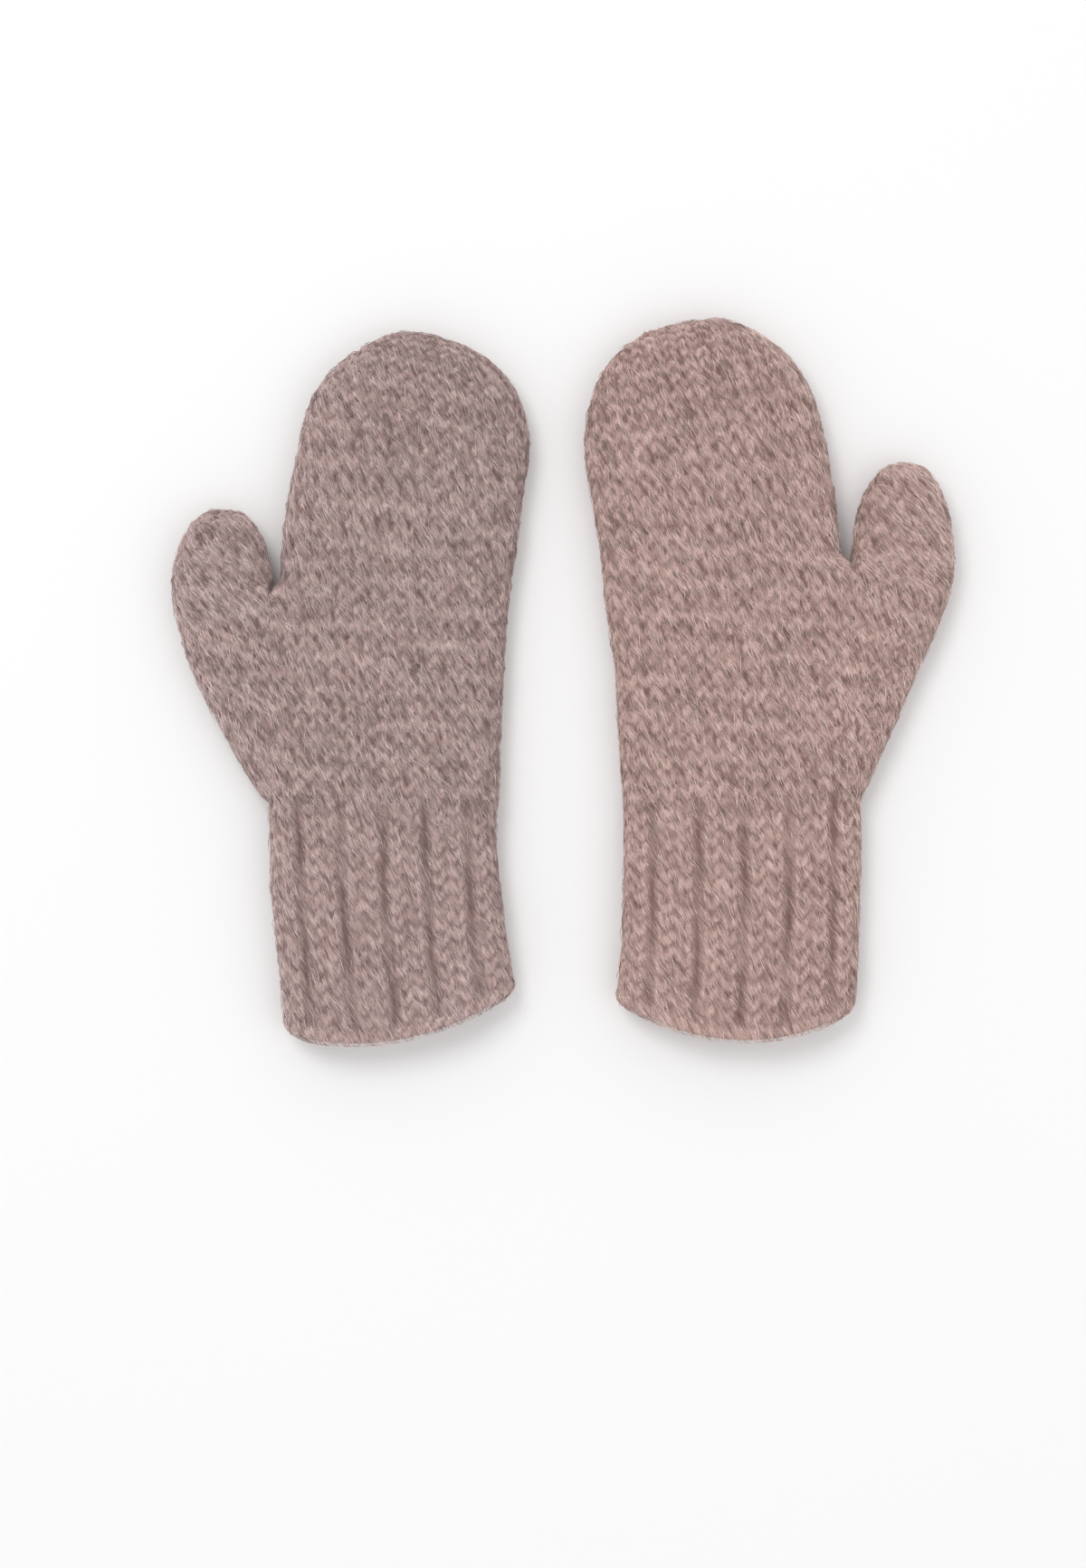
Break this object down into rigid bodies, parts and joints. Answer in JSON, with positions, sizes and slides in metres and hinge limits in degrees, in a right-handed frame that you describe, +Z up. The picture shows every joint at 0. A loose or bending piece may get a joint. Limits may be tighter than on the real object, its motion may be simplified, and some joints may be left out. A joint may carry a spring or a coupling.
{
  "type": "knitted mittens",
  "caption": "Pair of hand-knitted mittens with ribbed cuffs, gusseted thumbs and rounded tips, laid flat side by side; hollow to take the hands, folding at wrist, knuckles and thumb.",
  "frame": {"origin": "middle of the pair's outline, on the surface that the mittens lie on", "axes": "+X from the left-hand mitten to the right-hand one, across both; +Y from the cuffs to the fingertips; +Z up, out of the palms"},
  "size_m": [0.2992, 0.2758, 0.018],
  "materials": {
    "left_knit": "brushed stocking stitch",
    "left_rib": "brushed rib",
    "right_knit": "brushed stocking stitch",
    "right_rib": "brushed rib",
    "woven_in_yarn": "soft plied yarn"
  },
  "bodies": {
    "left_hand": {"left_palm": "left_knit", "left_thumb_gusset": "left_knit", "left_pick_up_yarn_end": "woven_in_yarn"},
    "left_cuff": {"left_ribbed_cuff": "left_rib", "left_cast_on_edge": "left_rib", "left_cast_on_yarn_end": "woven_in_yarn"},
    "left_fingers": {"left_finger_pocket": "left_knit", "left_crown": "left_knit", "left_crown_gather": "left_knit", "left_crown_yarn_end": "woven_in_yarn"},
    "left_thumb": {"left_thumb_picked_up_round": "left_knit", "left_thumb_tube": "left_knit", "left_thumb_gather": "left_knit", "left_thumb_yarn_end": "woven_in_yarn"},
    "right_hand": {"right_palm": "right_knit", "right_thumb_gusset": "right_knit", "right_pick_up_yarn_end": "woven_in_yarn"},
    "right_cuff": {"right_ribbed_cuff": "right_rib", "right_cast_on_edge": "right_rib", "right_cast_on_yarn_end": "woven_in_yarn"},
    "right_fingers": {"right_finger_pocket": "right_knit", "right_crown": "right_knit", "right_crown_gather": "right_knit", "right_crown_yarn_end": "woven_in_yarn"},
    "right_thumb": {"right_thumb_picked_up_round": "right_knit", "right_thumb_tube": "right_knit", "right_thumb_gather": "right_knit", "right_thumb_yarn_end": "woven_in_yarn"}
  },
  "joints": [
    {"name": "left_wrist_fold", "type": "hinge", "parent": "left_hand", "child": "left_cuff", "pos_m": [-0.06023, -0.04511, 0.0183], "axis": [-0.9997, 0.0244, 0], "range_deg": [0, 75]},
    {"name": "left_finger_fold", "type": "hinge", "parent": "left_hand", "child": "left_fingers", "pos_m": [-0.05791, 0.04986, 0.0183], "axis": [0.9997, -0.0244, 0], "range_deg": [0, 100]},
    {"name": "left_thumb_fold", "type": "hinge", "parent": "left_hand", "child": "left_thumb", "pos_m": [-0.12873, 0.02945, 0.0183], "axis": [0.9829, 0.184, 0], "range_deg": [0, 90]},
    {"name": "right_wrist_fold", "type": "hinge", "parent": "right_hand", "child": "right_cuff", "pos_m": [0.06118, -0.04522, 0.0183], "axis": [-0.9984, -0.0558, 0], "range_deg": [0, 75]},
    {"name": "right_finger_fold", "type": "hinge", "parent": "right_hand", "child": "right_fingers", "pos_m": [0.05555, 0.05562, 0.0183], "axis": [0.9984, 0.0558, 0], "range_deg": [0, 100]},
    {"name": "right_thumb_fold", "type": "hinge", "parent": "right_hand", "child": "right_thumb", "pos_m": [0.12773, 0.04009, 0.0183], "axis": [0.9882, -0.153, 0], "range_deg": [0, 90]},
    {"name": "right_mitten_slide", "type": "slide", "parent": "left_hand", "child": "right_hand", "axis": [1, 0, 0], "range_m": [0, 0.15]}
  ]
}
